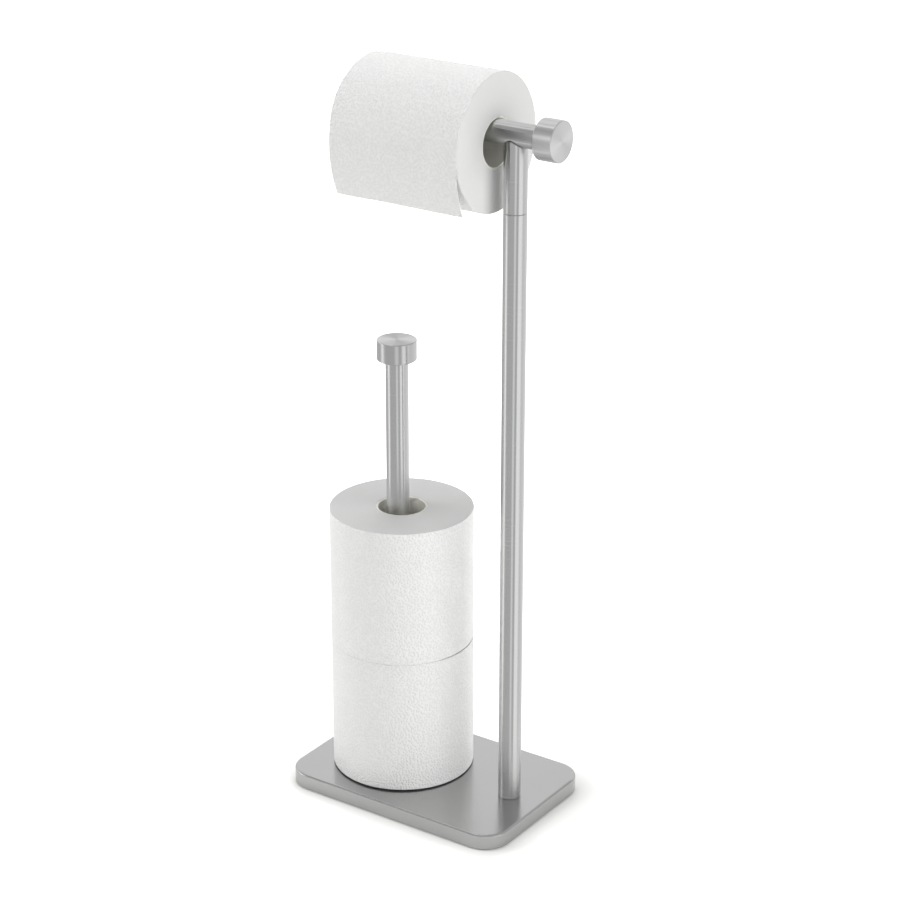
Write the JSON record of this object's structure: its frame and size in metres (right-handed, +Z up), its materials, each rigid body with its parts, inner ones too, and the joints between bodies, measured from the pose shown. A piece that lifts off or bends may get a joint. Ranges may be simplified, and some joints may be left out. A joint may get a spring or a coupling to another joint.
{
  "type": "toilet roll holder",
  "caption": "Free-standing toilet roll holder: weighted rectangular base, tall post with a capped horizontal roll arm, and a shorter capped post that stores spare rolls.",
  "frame": {"origin": "on the floor, under the centre of the base plate", "axes": "+Z up along the posts, +X along the base towards the tall post, -Y to the front where the paper hangs down"},
  "size_m": [0.2092, 0.133, 0.5857],
  "materials": {
    "plate_steel": "satin",
    "tube_steel": "satin",
    "cap_steel": "satin",
    "plated_steel": "satin",
    "cast_ballast": "matte",
    "pad_rubber": "matte",
    "tissue": "matte",
    "core_board": "matte"
  },
  "bodies": {
    "stand": {"base_cover": "plate_steel", "base_weight": "cast_ballast", "base_pad": "pad_rubber", "post_screws": "plated_steel", "post_washers": "plated_steel", "tall_post": "tube_steel", "tall_post_foot": "plated_steel", "tall_post_head": "plated_steel", "joint_stud": "plated_steel", "arm_stub": "tube_steel", "arm_stub_insert": "plated_steel", "roll_arm": "tube_steel", "arm_plug_left": "plated_steel", "arm_plug_right": "plated_steel", "arm_cap_left": "cap_steel", "arm_cap_right": "cap_steel", "reserve_post": "tube_steel", "reserve_post_foot": "plated_steel", "reserve_post_head": "plated_steel", "reserve_cap": "cap_steel", "cap_studs": "plated_steel"},
    "hanging_roll": {"hanging_roll_paper": "tissue", "hanging_roll_core": "core_board", "hanging_roll_tail": "tissue"},
    "upper_roll": {"upper_roll_paper": "tissue", "upper_roll_core": "core_board"},
    "lower_roll": {"lower_roll_paper": "tissue", "lower_roll_core": "core_board"}
  },
  "joints": [
    {"name": "hanging_roll_spin", "type": "hinge", "parent": "stand", "child": "hanging_roll", "pos_m": [0, 0, 0.53435], "axis": [1, 0, 0], "continuous": true},
    {"name": "upper_roll_lift", "type": "slide", "parent": "stand", "child": "upper_roll", "axis": [0, 0, 1], "range_m": [0, 0.2465]},
    {"name": "lower_roll_turn", "type": "hinge", "parent": "stand", "child": "lower_roll", "pos_m": [-0.0322, 0.0024, 0.0683], "axis": [0, 0, 1], "continuous": true}
  ]
}
